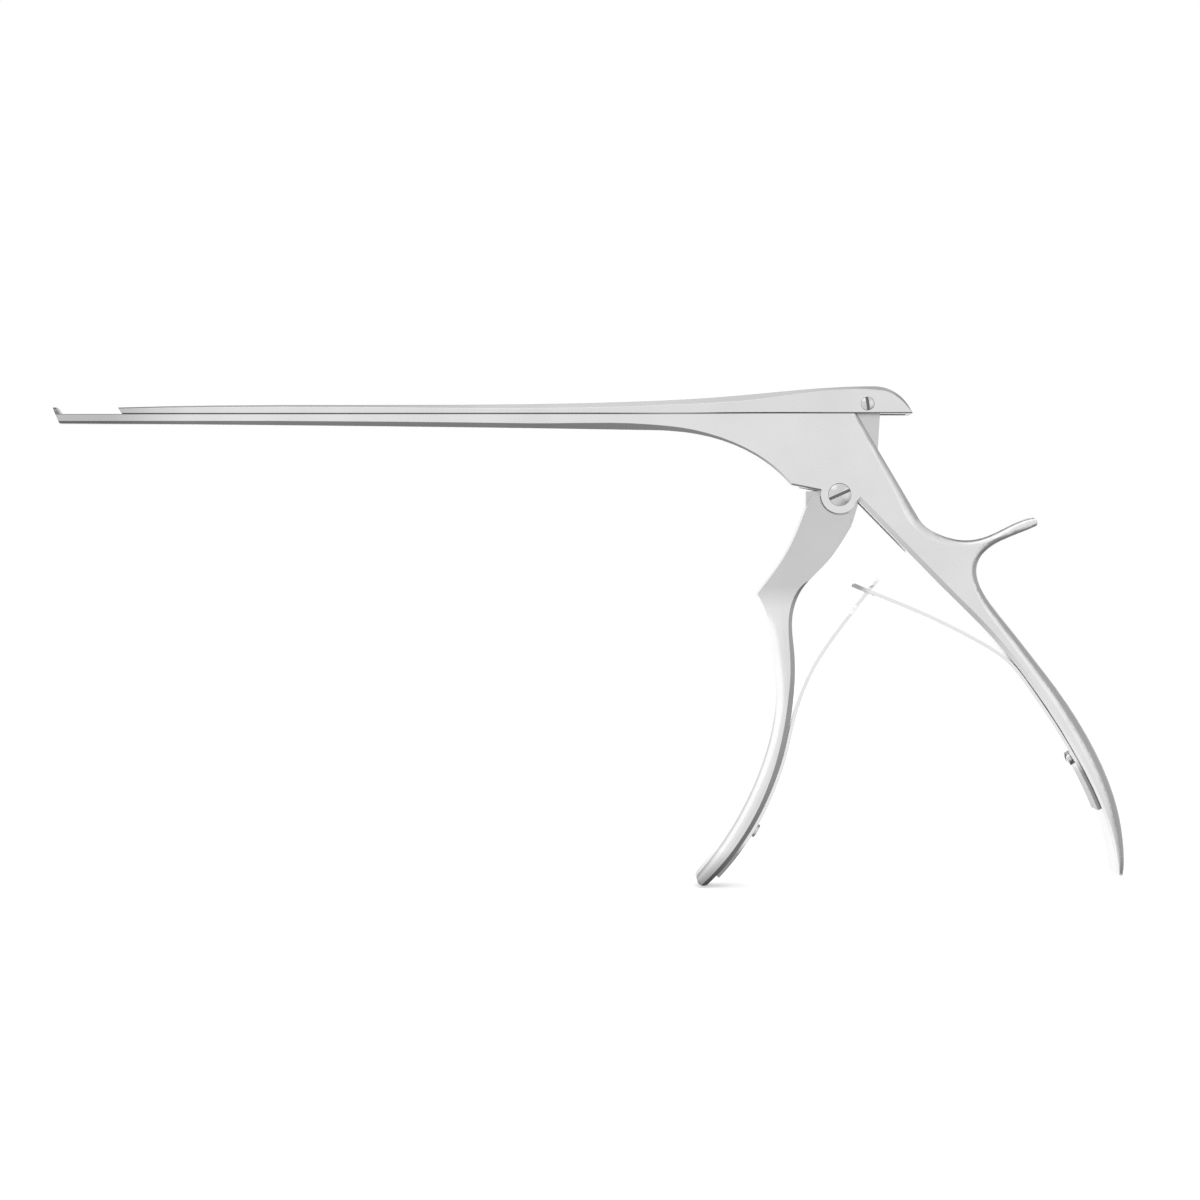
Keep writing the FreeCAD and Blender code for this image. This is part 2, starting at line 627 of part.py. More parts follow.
def handle_outline():
    """The side view of the front handle, from its heel over the shoulder and down to the tip and back."""
    inner = front_inner_edge()
    left = PLATE_SHOULDER_X
    top = PLATE_SHOULDER_Z
    plate_front = spline([at(left, top - SHOULDER_CHAMFER)] + points(PLATE_FRONT + [NUB]))
    front = spline([at(NUB[0], NUB[1])] + grip_back(inner, FRONT_GRIP, -1))
    middle = (front.Vertexes[-1].Point + inner.Vertexes[-1].Point) * 0.5
    tip = middle + end_tangent(inner, True) * FRONT_TIP_DROP
    shoulder = chain([inner.Vertexes[0].Point, at(HEEL_X, HEEL_Z), at(HEEL_X, top),
                      at(left + SHOULDER_CHAMFER, top), plate_front.Vertexes[0].Point])
    return {
        "heel": shoulder[0],
        "behind": shoulder[1],
        "top": shoulder[2],
        "shoulder": shoulder[3],
        "plate_front": plate_front,
        "front": front,
        "tip": arc(front.Vertexes[-1].Point, tip, inner.Vertexes[-1].Point),
        "inner": inner,
    }


def handle_width_block():
    """Widths of the front handle as seen from the front."""
    low_z = FRONT_GRIP[-1][1] - FRONT_TIP_DROP - OVERRUN
    plate = ("line", [(EAR_RADIUS, PLATE_WIDTH / 2), (FRONT_FLARE_TOP_Z, PLATE_WIDTH / 2)])
    grip = ((UP * -1, FreeCAD.Vector(0, -FLARE_SLOPE, -1)),
            [(FRONT_FLARE_TOP_Z, PLATE_WIDTH / 2), (FRONT_FLARE_LOW_Z, FRONT_FLARE_WIDTH / 2),
             (FRONT_FLARE_WIDEST_Z, FRONT_GRIP_WIDTH / 2), (low_z, FRONT_TIP_WIDTH / 2)])
    return half_widths_block([plate, grip], UP, -FAR, FAR)


def closed_frame_region():
    """What the frame's inner edge covers in the lever's own view once the jaw is shut, with a gap."""
    inner = rear_inner_edge()
    start = inner.Vertexes[0].Point
    run = height_point(inner, x=REAR_INNER_TOP[0][0]) - start
    along = run.normalize()
    outward = at(-along.z, along.x)
    corner = start - along * FAR - outward * CLOSING_GAP
    end = start + along * FAR - outward * CLOSING_GAP
    region = polygon_slab([corner, end, end + outward * FAR, corner + outward * FAR], FAR)
    return turned(region, -closing_angle())


def tongue_corners():
    """The side view of the thin tongue: the plate's root, the arm and the fork's two prongs."""
    drive = drive_point()
    half = ARM_WIDTH / 2
    top = math.hypot(DRIVE_SET_BACK, DRIVE_HEIGHT) + ARM_ABOVE_PIN
    front_x = drive.x - half
    rear_x = drive.x + half
    return [
        at(front_x, math.sqrt(top ** 2 - front_x ** 2)),
        at(front_x - ARM_FRONT_TAPER, SLIDE_HEIGHT),
        at(*TONGUE_NECK_FRONT),
        at(*TONGUE_SHOULDER),
        at(TONGUE_ROOT_FRONT_X, TONGUE_ROOT_Z),
        at(TONGUE_ROOT_REAR_X, TONGUE_ROOT_Z),
        at(HEEL_LOW_X, HEEL_LOW_Z),
        at(HEEL_X, HEEL_Z),
        at(*TONGUE_NECK_REAR),
        at(rear_x - ARM_REAR_TAPER, DRIVE_HEIGHT / 2),
        at(rear_x, math.sqrt(top ** 2 - rear_x ** 2)),
    ]


def make_front_handle():
    outline = handle_outline()
    widths = handle_width_block()
    fade, lift = FINGER_RIM_FADE
    finger = rim_stations(outline["front"], -1, FINGER_RIM, RIM_STEP_SHORT)
    finger = [reached(finger[0], -fade, lift)] + finger + [reached(finger[-1], RIM_REACH)]
    inner = rim_stations(outline["inner"], 1, FRONT_INNER_RIM, RIM_STEP_SHORT)
    inner.append(reached(inner[-1], RIM_REACH))
    plate = blank(outline, widths)
    plate = with_rim(plate, widths, finger, ROUND_START_DEG)
    plate = with_rim(plate, widths, inner, 0.0)
    scoop_radius = EAR_RADIUS + EAR_SCOOP_GAP
    plate = plate.cut(rod(scoop_radius, at(0, 0, -FAR), ACROSS, 2 * FAR))
    plate = plate.cut(closed_frame_region())
    tongue_width = SLOT_WIDTH - 2 * TONGUE_CLEARANCE
    corners = tongue_corners()
    top_middle = heading(math.degrees(math.atan2(DRIVE_HEIGHT, DRIVE_SET_BACK))) * corners[0].Length
    outline = chain(corners) + [arc(corners[-1], top_middle, corners[0])]
    tongue = slab(outline, tongue_width)
    lever = plate.fuse(tongue).removeSplitter()
    bore = rod(PIVOT_SHANK_RADIUS + RUNNING_CLEARANCE, at(0, 0, -FAR), ACROSS, 2 * FAR)
    mouth_half = DRIVE_SHANK_RADIUS + FORK_CLEARANCE
    mouth = Part.makeBox(2 * mouth_half, SLOT_WIDTH, FAR, at(-mouth_half, DRIVE_HEIGHT, -SLOT_WIDTH / 2))
    mouth = mouth.fuse(rod(mouth_half, at(0, DRIVE_HEIGHT, -SLOT_WIDTH / 2), ACROSS, SLOT_WIDTH))
    mouth = turned(mouth, -math.degrees(math.atan2(DRIVE_SET_BACK, DRIVE_HEIGHT)))
    return lever.cut(bore).cut(mouth)


# Slider


def slider_top_edge(tip):
    middle = at(SHAFT_MIDDLE_X, SLIDE_HEIGHT + SLIDER_HEIGHT_MIDDLE)
    root = at(SHAFT_ROOT_X, SLIDE_HEIGHT + SLIDER_HEIGHT_ROOT)
    neck = at(SLIDER_NECK_X, SLIDE_HEIGHT + SLIDER_HEIGHT_NECK)
    head = at(SLIDER_HEAD_X, SLIDE_HEIGHT + SLIDER_HEIGHT_HEAD)
    return spline([tip, middle, root, neck, head], None, ALONG * (head.x - neck.x))


def slider_outline():
    lean = math.tan(math.radians(FOOT_LEAN_DEG))
    low_tip = at(-REACH + JAW_TRAVEL + JAW_CLEARANCE, SLIDE_HEIGHT)
    tip = low_tip + at(-SLIDER_HEIGHT_TIP * lean, SLIDER_HEIGHT_TIP)
    top = slider_top_edge(tip)
    head = top.Vertexes[-1].Point
    rear = at(SLIDER_REAR_X, SLIDE_HEIGHT + SLIDER_REAR_EDGE)
    shoulder = at((head.x + rear.x) / 2, head.z - (head.z - rear.z) * NOSE_DROP_SHARE)
    return {
        "cutting_end": line(low_tip, tip),
        "top": top,
        "nose": spline([head, shoulder, rear], ALONG * (rear.x - head.x), None),
        "rear": line(rear, at(rear.x, SLIDE_HEIGHT)),
        "bottom": line(at(rear.x, SLIDE_HEIGHT), low_tip),
    }


def head_slot_corners():
    """The side view of the slot in the slider's head, with a wall kept over it and behind it."""
    front_x = DRIVE_SET_BACK - HEAD_SLOT_AHEAD
    roof = math.hypot(DRIVE_SET_BACK, DRIVE_HEIGHT) + ARM_ABOVE_PIN + HEAD_SLOT_ROOF
    rear_x = SLIDER_REAR_X - HEAD_REAR_WALL
    return [at(front_x, SLIDE_HEIGHT - OVERRUN), at(front_x, roof), at(DRIVE_SET_BACK + HEAD_SLOT_AHEAD, roof),
            at(rear_x, SLIDE_HEIGHT + HEAD_SLOT_STEP), at(rear_x, SLIDE_HEIGHT - OVERRUN)]


def cutting_cup():
    """The hollow behind the cutting edge that takes the bitten piece."""
    half = CUP_WIDTH / 2
    front = -REACH + JAW_TRAVEL - 2 * OVERRUN
    back = -REACH + JAW_TRAVEL + CUP_DEPTH
    roof = SLIDE_HEIGHT + CUP_HEIGHT
    tube = rod(half, at(front, roof - half), ALONG, back - front)
    return tube.fuse(block(front, back, half, SLIDE_HEIGHT - 2 * OVERRUN, roof - half))


def block(x0, x1, half_width, z0, z1):
    return Part.makeBox(x1 - x0, 2 * half_width, z1 - z0, at(x0, z0, -half_width))


def make_slider():
    outline = slider_outline()
    widths = slider_width_block()
    top = rim_stations(outline["top"], 1, SLIDER_TOP_RIM, RIM_STEP_LONG)
    top += rim_stations(outline["nose"], 1, SLIDER_NOSE_RIM, RIM_STEP_SHORT / 2)[1:]
    body = with_rim(blank(outline, widths), widths, [reached(top[0], -RIM_REACH)] + top, 0.0)
    bottom = rim_stations(outline["bottom"], 1, SLIDER_BOTTOM_RIM, RIM_STEP_LONG)
    bottom = [reached(bottom[0], -RIM_REACH)] + bottom + [reached(bottom[-1], RIM_REACH)]
    body = with_rim(body, widths, bottom, 0.0)
    rail = guide(0.0, -REACH + GUIDE_START + JAW_TRAVEL + GUIDE_SPARE, GUIDE_END_X)
    body = body.fuse(rail).removeSplitter()
    body = body.cut(polygon_slab(head_slot_corners(), SLOT_WIDTH))
    drive = drive_point()
    near_face = -BODY_WIDTH / 2
    body = body.cut(rod(DRIVE_SHANK_RADIUS + RUNNING_CLEARANCE, at(drive.x, drive.z, -FAR), ACROSS, 2 * FAR))
    seat = rod(DRIVE_HEAD_RADIUS + RUNNING_CLEARANCE, at(drive.x, drive.z, near_face - OVERRUN), ACROSS,
               DRIVE_HEAD_DEPTH - HEAD_PROUD + OVERRUN)
    return body.cut(seat).cut(cutting_cup())


def slider_width_block():
    """The plan of the slider: as wide as the shaft and the body that it lies on."""
    shaft, swell = shaft_plan(-REACH - OVERRUN)
    head = ("line", [(BODY_FULL_WIDTH_X, BODY_WIDTH / 2), (SLIDER_REAR_X + 2 * OVERRUN, BODY_WIDTH / 2)])
    return half_widths_block([shaft, swell, head], ALONG, SLIDE_HEIGHT - OVERRUN,
                             SLIDE_HEIGHT + SLIDER_HEIGHT_HEAD + OVERRUN)


# Leaf springs


def beside(edge, z, side, distance):
    """The point beside a handle's inner edge at this height, a distance off it to one side."""
    spot = height_point(edge, z=z)
    tangent = edge.Curve.tangent(edge.Curve.parameter(spot))[0]
    return spot + at(-tangent.z, tangent.x) * (side * distance)


def leaf_side_view(edge, tail_z, lift_z, free, side):
    """A leaf's side view: along the handle from its tail to where it lifts off, then free to its end."""
    middle = []
    for step in range(LEAF_ROOT_STEPS + 1):
        share = step / LEAF_ROOT_STEPS
        distance = LEAF_GAP + LEAF_THICKNESS / 2 + LEAF_LIFT * share ** 2
        middle.append(beside(edge, tail_z + (lift_z - tail_z) * share, side, distance))
    path = spline(middle + points(free))
    curve = path.Curve
    near = []
    far = []
    for i in range(LEAF_STEPS + 1):
        parameter = curve.FirstParameter + (curve.LastParameter - curve.FirstParameter) * i / LEAF_STEPS
        spot = curve.value(parameter)
        tangent = curve.tangent(parameter)[0]
        normal = at(-tangent.z, tangent.x)
        near.append(spot + normal * (LEAF_THICKNESS / 2))
        far.append(spot - normal * (LEAF_THICKNESS / 2))
    return [spline(near), line(near[-1], far[-1]), spline(far[::-1]), line(far[0], near[0])]


def screw_seat(edge, z, side):
    """The point of a handle's inner edge where a leaf is screwed on, and the way into the handle."""
    spot = height_point(edge, z=z)
    tangent = edge.Curve.tangent(edge.Curve.parameter(spot))[0]
    inward = at(-tangent.z, tangent.x) * (-side)
    return spot, inward


def leaf_hole(edge, z, side, clearance):
    """The rod that a leaf screw's hole is cut with, through the leaf and into the handle."""
    spot, inward = screw_seat(edge, z, side)
    before = LEAF_GAP + LEAF_THICKNESS + OVERRUN
    return rod(LEAF_SCREW_RADIUS + clearance, spot - inward * before, inward,
               before + LEAF_SCREW_LENGTH + LEAF_HOLE_SPARE)


def make_rear_leaf():
    edge = rear_inner_edge()
    leaf = slab(leaf_side_view(edge, REAR_LEAF_TAIL_Z, REAR_LEAF_LIFT_Z, REAR_LEAF_FREE, -1), FAR)
    end_x = REAR_LEAF_FREE[-1][0]
    root_x = height_point(edge, z=REAR_LEAF_SCREW_Z).x
    tail_x = height_point(edge, z=REAR_LEAF_TAIL_Z).x
    taper = ("line", [(end_x - OVERRUN, LEAF_END_WIDTH / 2), (root_x, LEAF_ROOT_WIDTH / 2),
                      (tail_x + OVERRUN, LEAF_ROOT_WIDTH / 2)])
    leaf = leaf.common(half_widths_block([taper], ALONG, -2 * FAR, FAR))
    mouth_end = end_x + FORK_MOUTH_DEPTH - FORK_MOUTH_WIDTH / 2
    mouth = block(end_x - OVERRUN, mouth_end, FORK_MOUTH_WIDTH / 2, -FAR, 0.0)
    mouth = mouth.fuse(rod(FORK_MOUTH_WIDTH / 2, at(mouth_end, -FAR), UP, FAR))
    return leaf.cut(mouth).cut(leaf_hole(edge, REAR_LEAF_SCREW_Z, -1, LEAF_HOLE_CLEARANCE))


def make_front_leaf():
    edge = front_inner_edge()
    leaf = slab(leaf_side_view(edge, FRONT_LEAF_TAIL_Z, FRONT_LEAF_LIFT_Z, FRONT_LEAF_FREE, 1), FAR)
    end_z = FRONT_LEAF_FREE[-1][1]
    head_low = end_z - FRONT_HEAD_LENGTH
    low_z = FRONT_LEAF_TAIL_Z - 2 * OVERRUN
    neck = FRONT_NECK_WIDTH / 2
    taper = ("line", [(low_z, LEAF_ROOT_WIDTH / 2), (FRONT_LEAF_SCREW_Z, LEAF_ROOT_WIDTH / 2),
                      (FRONT_NECK_LOW_Z - FRONT_NECK_RUN, LEAF_END_WIDTH / 2), (FRONT_NECK_LOW_Z, neck),
                      (head_low, neck), (head_low + FRONT_HEAD_BEVEL, FRONT_HEAD_WIDTH / 2),
                      (end_z - FRONT_HEAD_BEVEL, FRONT_HEAD_WIDTH / 2), (end_z + OVERRUN, neck)])
    leaf = leaf.common(half_widths_block([taper], UP, -FAR, FAR))
    return leaf.cut(leaf_hole(edge, FRONT_LEAF_SCREW_Z, 1, LEAF_HOLE_CLEARANCE))


def leaf_screw(edge, z, side, slot_deg):
    spot, inward = screw_seat(edge, z, side)
    screw = slotted_screw(LEAF_HEAD_RADIUS, LEAF_HEAD_DEPTH, LEAF_SCREW_RADIUS,
                          LEAF_HEAD_GAP + LEAF_THICKNESS + LEAF_GAP + LEAF_SCREW_LENGTH, slot_deg)
    head_face = spot - inward * (LEAF_GAP + LEAF_THICKNESS + LEAF_HEAD_GAP + LEAF_HEAD_DEPTH)
    return place_along(screw, head_face, inward)


def make_pivot_screw():
    near_face = -BODY_WIDTH / 2 - HEAD_PROUD
    screw = slotted_screw(PIVOT_HEAD_RADIUS, PIVOT_HEAD_DEPTH, PIVOT_SHANK_RADIUS,
                          BODY_WIDTH + HEAD_PROUD - PIVOT_HEAD_DEPTH, PIVOT_SLOT_DEG)
    screw.translate(ACROSS * near_face)
    return screw


def make_slider_screw():
    near_face = -BODY_WIDTH / 2 - HEAD_PROUD
    screw = slotted_screw(DRIVE_HEAD_RADIUS, DRIVE_HEAD_DEPTH, DRIVE_SHANK_RADIUS,
                          BODY_WIDTH + HEAD_PROUD - DRIVE_HEAD_DEPTH, DRIVE_SLOT_DEG)
    screw.translate(ACROSS * near_face + drive_point())
    return screw


def cut_frame_holes(body):
    """The holes for the pivot screw and the rear leaf's screw."""
    body = body.cut(rod(PIVOT_SHANK_RADIUS + RUNNING_CLEARANCE, at(0, 0, -FAR), ACROSS, 2 * FAR))
    seat = rod(PIVOT_HEAD_RADIUS + RUNNING_CLEARANCE, at(0, 0, -BODY_WIDTH / 2 - OVERRUN), ACROSS,
               PIVOT_HEAD_DEPTH - HEAD_PROUD + OVERRUN)
    return body.cut(seat).cut(leaf_hole(rear_inner_edge(), REAR_LEAF_SCREW_Z, -1, RUNNING_CLEARANCE))


def build_pieces():
    front_edge = front_inner_edge()
    front_hole = leaf_hole(front_edge, FRONT_LEAF_SCREW_Z, 1, RUNNING_CLEARANCE)
    return {
        "frame": cut_frame_holes(make_frame()),
        "slider": make_slider(),
        "front_handle": make_front_handle().cut(front_hole),
        "pivot_screw": make_pivot_screw(),
        "slider_screw": make_slider_screw(),
        "front_leaf_spring": make_front_leaf(),
        "rear_leaf_spring": make_rear_leaf(),
        "front_spring_screw": leaf_screw(front_edge, FRONT_LEAF_SCREW_Z, 1, 30.0),
        "rear_spring_screw": leaf_screw(rear_inner_edge(), REAR_LEAF_SCREW_Z, -1, 75.0),
    }


def export(pieces):
    os.makedirs("parts", exist_ok=True)
    for name, piece in pieces.items():
        solid = piece.Solids[0] if len(piece.Solids) == 1 else piece
        moved = solid.copy()
        moved.translate(at(-SADDLE_X, -SADDLE_Z))
        print(name, moved.isValid(), len(piece.Solids), round(moved.Volume, 1), len(moved.Faces))
        moved.exportStep("parts/" + name + ".step")


export(build_pieces())
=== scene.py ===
import logging
import math
from dataclasses import dataclass
from enum import Enum

import bmesh
import bpy
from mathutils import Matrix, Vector


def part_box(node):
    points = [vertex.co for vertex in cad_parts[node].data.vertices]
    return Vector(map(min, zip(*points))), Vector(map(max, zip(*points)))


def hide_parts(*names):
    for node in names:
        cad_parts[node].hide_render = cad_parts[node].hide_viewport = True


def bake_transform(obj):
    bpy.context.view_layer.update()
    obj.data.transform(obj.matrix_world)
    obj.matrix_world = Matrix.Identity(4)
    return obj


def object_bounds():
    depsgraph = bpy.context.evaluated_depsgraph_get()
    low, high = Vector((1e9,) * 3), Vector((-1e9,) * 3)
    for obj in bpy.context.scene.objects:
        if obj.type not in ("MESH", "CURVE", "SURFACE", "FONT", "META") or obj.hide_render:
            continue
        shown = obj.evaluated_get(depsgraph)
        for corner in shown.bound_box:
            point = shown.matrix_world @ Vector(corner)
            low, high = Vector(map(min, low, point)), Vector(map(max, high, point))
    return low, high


# Looks of the bone rongeur, in metres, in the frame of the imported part.
# The camera looks along +Y at the near flank. X runs along the shaft and Z is up.

LOG = logging.getLogger("rongeur")

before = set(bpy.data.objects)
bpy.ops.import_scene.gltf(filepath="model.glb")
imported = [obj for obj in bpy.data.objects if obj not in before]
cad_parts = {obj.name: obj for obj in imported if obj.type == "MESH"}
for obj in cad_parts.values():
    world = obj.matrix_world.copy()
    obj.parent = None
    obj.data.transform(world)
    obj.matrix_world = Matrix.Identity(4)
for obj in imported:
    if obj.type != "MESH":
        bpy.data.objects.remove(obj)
CAD_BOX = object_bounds()

MM = 0.001


class Grain(Enum):
    """How the surface of a steel piece was finished."""

    BLASTED = "blasted"
    GROUND = "ground"
    TURNED = "turned"


# Octaves of the noise in each grain and in the clouding, and the span that the noise seldom leaves.
GRAIN_OCTAVES = {Grain.BLASTED: 4.0, Grain.GROUND: 2.0}
CLOUD_OCTAVES = 3.0
NOISE_SPAN = (0.3, 0.7)
RING_OCTAVES = 2.0
RING_DISTORTION = 0.6
EDGE_SAMPLES = 6


@dataclass(frozen=True)
class Link:
    """One connection of a node tree, from an output to an input."""

    source: bpy.types.NodeSocket
    target: bpy.types.NodeSocket


class NodeSheet:
    """A node tree under construction, with short ways to add and join its nodes."""

    def __init__(self, tree: bpy.types.NodeTree) -> None:
        """Empties the tree.

        Args:
            tree: the node tree of a material or of the world.
        """
        self.tree = tree
        tree.nodes.clear()

    def add(self, kind: str, **settings: object) -> bpy.types.Node:
        """Adds a node.

        Args:
            kind: the node's type name.
            settings: properties of the node, by name.

        Returns:
            The new node.
        """
        node = self.tree.nodes.new(kind)
        for name, value in settings.items():
            setattr(node, name, value)
        return node

    def join(self, *links: Link) -> None:
        """Makes the connections.

        Args:
            links: the connections, in any order.
        """
        for link in links:
            self.tree.links.new(link.source, link.target)

    def noise(self, coordinates: bpy.types.NodeSocket, detail: float) -> bpy.types.NodeSocket:
        """Adds a noise texture of unit scale.

        Args:
            coordinates: where the noise is read.
            detail: its number of octaves.

        Returns:
            The noise's value, about 0.5 on average.
        """
        node = self.add("ShaderNodeTexNoise")
        node.inputs["Scale"].default_value = 1.0
        node.inputs["Detail"].default_value = detail
        self.join(Link(coordinates, node.inputs["Vector"]))
        return node.outputs["Fac"]

    def between(self, value: bpy.types.NodeSocket, span: tuple[float, float],
                result: tuple[float, float]) -> bpy.types.NodeSocket:
        """Maps a value from one span to another, and stops at its ends.

        Args:
            value: what is mapped.
            span: the values that give the ends of the result.
            result: the two ends.

        Returns:
            The mapped value.
        """
        node = self.add("ShaderNodeMapRange")
        node.inputs["From Min"].default_value = span[0]
        node.inputs["From Max"].default_value = span[1]
        node.inputs["To Min"].default_value = result[0]
        node.inputs["To Max"].default_value = result[1]
        self.join(Link(value, node.inputs["Value"]))
        return node.outputs["Result"]

    def combined(self, operation: str, first: bpy.types.NodeSocket,
                 second: bpy.types.NodeSocket) -> bpy.types.NodeSocket:
        """Combines two values.

        Args:
            operation: the math node's operation.
            first: the first value.
            second: the second value.

        Returns:
            The result.
        """
        node = self.add("ShaderNodeMath", operation=operation)
        self.join(Link(first, node.inputs[0]), Link(second, node.inputs[1]))
        return node.outputs["Value"]

    def scaled(self, coordinates: bpy.types.NodeSocket, size: Vector,
               centre: Vector) -> bpy.types.NodeSocket:
        """Coordinates counted from a centre in units of a size.

        Args:
            coordinates: the coordinates to map.
            size: the length of one unit along X, Y and Z.
            centre: the point that becomes zero.

        Returns:
            The mapped coordinates.
        """
        node = self.add("ShaderNodeMapping")
        node.inputs["Scale"].default_value = [1 / length for length in size]
        node.inputs["Location"].default_value = [-place / length for place, length in zip(centre, size)]
        self.join(Link(coordinates, node.inputs["Vector"]))
        return node.outputs["Vector"]

    def towards(self, direction: bpy.types.NodeSocket, aim: Vector) -> bpy.types.NodeSocket:
        """How far a direction points to an aim.

        Args:
            direction: the direction, of unit length.
            aim: the aim, of any length.

        Returns:
            A value from 0 for straight away from the aim to 1 for straight at it.
        """
        dot = self.add("ShaderNodeVectorMath", operation="DOT_PRODUCT")
        dot.inputs[1].default_value = aim.normalized()
        self.join(Link(direction, dot.inputs[0]))
        return self.between(dot.outputs["Value"], (-1.0, 1.0), (0.0, 1.0))

    def ramp(self, value: bpy.types.NodeSocket,
             levels: tuple[tuple[float, float], ...]) -> bpy.types.NodeSocket:
        """A grey level that depends on a value.

        Args:
            value: what the level depends on.
            levels: pairs of a value and its level, in order.

        Returns:
            The level.
        """
        node = self.add("ShaderNodeValToRGB")
        while len(node.color_ramp.elements) < len(levels):
            node.color_ramp.elements.new(0.5)
        for element, (position, level) in zip(node.color_ramp.elements, levels):
            element.position = position
            element.color = (level, level, level, 1.0)
        self.join(Link(value, node.inputs["Fac"]))
        return node.outputs["Color"]


@dataclass(frozen=True)
class Shade:
    """A darker stretch along one axis of a piece's own coordinates, up to its stop if it has one."""

    axis: str
    start: float
    end: float
    share: float
    stop: float | None = None

    def factor(self, sheet: NodeSheet, place: bpy.types.NodeSocket) -> bpy.types.NodeSocket:
        """The factor of the steel's tone.

        Args:
            sheet: the material's tree.
            place: the piece's own coordinates.

        Returns:
            A value of 1 up to the start, of the share from the end on, and of 1 again past the stop.
        """
        parts = sheet.add("ShaderNodeSeparateXYZ")
        sheet.join(Link(place, parts.inputs["Vector"]))
        factor = sheet.between(parts.outputs[self.axis], (self.start, self.end), (1.0, self.share))
        if self.stop is None:
            return factor
        past = self.stop + self.end - self.start
        again = sheet.between(parts.outputs[self.axis], (self.stop, past), (self.share, 1.0))
        return sheet.combined("MAXIMUM", factor, again)


@dataclass(frozen=True)
class SteelFinish:
    """A finish of bare stainless steel.

    Its grain is fine texture in the roughness and the bump. Its clouding is the slow change of tone that
    hand polishing leaves.
    """

    name: str
    grain: Grain
    colour: tuple[float, float, float]
    roughness: float
    roughness_spread: float
    grain_size: Vector
    grain_depth: float
    clouding: float
    cloud_size: float = 14 * MM
    centre: Vector = Vector((0.0, 0.0, 0.0))
    shades: tuple[Shade, ...] = ()
    edge_radius: float = 0.12 * MM

    def build(self) -> bpy.types.Material:
        """Makes the material.

        Returns:
            The material, with its pattern in the piece's own coordinates.
        """
        material = bpy.data.materials.new(self.name)
        material.use_nodes = True
        sheet = NodeSheet(material.node_tree)
        shader = sheet.add("ShaderNodeBsdfPrincipled")
        output = sheet.add("ShaderNodeOutputMaterial")
        place = sheet.add("ShaderNodeTexCoord").outputs["Object"]
        shader.inputs["Metallic"].default_value = 1.0
        pattern = self.pattern(sheet, place)
        spread = (self.roughness - self.roughness_spread, self.roughness + self.roughness_spread)
        bump = sheet.add("ShaderNodeBump")
        bump.inputs["Distance"].default_value = self.grain_depth
        edges = sheet.add("ShaderNodeBevel", samples=EDGE_SAMPLES)
        edges.inputs["Radius"].default_value = self.edge_radius
        sheet.join(
            Link(edges.outputs["Normal"], bump.inputs["Normal"]),
            Link(sheet.between(pattern, NOISE_SPAN, spread), shader.inputs["Roughness"]),
            Link(pattern, bump.inputs["Height"]),
            Link(bump.outputs["Normal"], shader.inputs["Normal"]),
            Link(self.tone(sheet, place), shader.inputs["Base Color"]),
            Link(shader.outputs["BSDF"], output.inputs["Surface"]),
        )
        return material

    def pattern(self, sheet: NodeSheet, place: bpy.types.NodeSocket) -> bpy.types.NodeSocket:
        """The grain's height.

        Args:
            sheet: the material's tree.
            place: the piece's own coordinates.

        Returns:
            A value of about 0 to 1.
        """
        own = sheet.scaled(place, self.grain_size, self.centre)
        if self.grain is not Grain.TURNED:
            return sheet.noise(own, GRAIN_OCTAVES[self.grain])
        rings = sheet.add("ShaderNodeTexWave", wave_type="RINGS", rings_direction="Y")
        rings.inputs["Scale"].default_value = 1.0
        rings.inputs["Distortion"].default_value = RING_DISTORTION
        rings.inputs["Detail"].default_value = RING_OCTAVES
        sheet.join(Link(own, rings.inputs["Vector"]))
        return rings.outputs["Fac"]

    def tone(self, sheet: NodeSheet, place: bpy.types.NodeSocket) -> bpy.types.NodeSocket:
        """The steel's colour with its clouding, and darker along the finish's listed stretches, most of them
        painted shade.

        Args:
            sheet: the material's tree.
            place: the piece's own coordinates.

        Returns:
            The colour.
        """
        cloud_place = sheet.scaled(place, Vector((self.cloud_size,) * 3), self.centre)
        cloud = sheet.noise(cloud_place, CLOUD_OCTAVES)
        level = sheet.between(cloud, NOISE_SPAN, (1 - self.clouding, 1.0))
        for shade in self.shades:
            level = sheet.combined("MULTIPLY", level, shade.factor(sheet, place))
        mix = sheet.add("ShaderNodeVectorMath", operation="SCALE")
        mix.inputs[0].default_value = self.colour
        sheet.join(Link(level, mix.inputs["Scale"]))
        return mix.outputs["Vector"]


# Darker stretches: towards the shaft's far end; and painted shade along the line where the slider meets the
# frame, on the lever's flat plate, at the tip of its grip, on the springs' tails and at the rear spring's
# forked end.
SLIDING_FACE = 38.7 * MM
JOINT_SHARE = 0.45
TAIL_SHARE = 0.35
END_SHADE = Shade("X", -192.0 * MM, -212.0 * MM, 0.66)
# Painted shade along the line where the slider meets the frame: just under it on the frame, just over it on
# the slider.
UNDER_JOINT_SHADE = Shade("Z", SLIDING_FACE - 0.2 * MM, SLIDING_FACE - 0.1 * MM, JOINT_SHARE)
OVER_JOINT_SHADE = Shade("Z", SLIDING_FACE + 0.3 * MM, SLIDING_FACE + 0.2 * MM, JOINT_SHARE)
# Painted shade on the upper part of the lever's flat plate, next to the ear.
PLATE_SHADE = Shade("Z", -9.0 * MM, -3.5 * MM, 0.78)
# Painted shade at the tip of the lever's grip.
GRIP_TIP_SHADE = Shade("Z", -68.0 * MM, -76.5 * MM, 0.38)
# Painted shade on the tails of both springs.
FRONT_TAIL_SHADE = Shade("Z", -66.0 * MM, -69.0 * MM, TAIL_SHARE)
REAR_TAIL_SHADE = Shade("Z", -46.0 * MM, -49.0 * MM, TAIL_SHARE)
# Painted shade at the rear spring's forked end.
FORKED_END_SHADE = Shade("X", -26.0 * MM, -28.5 * MM, 0.45)

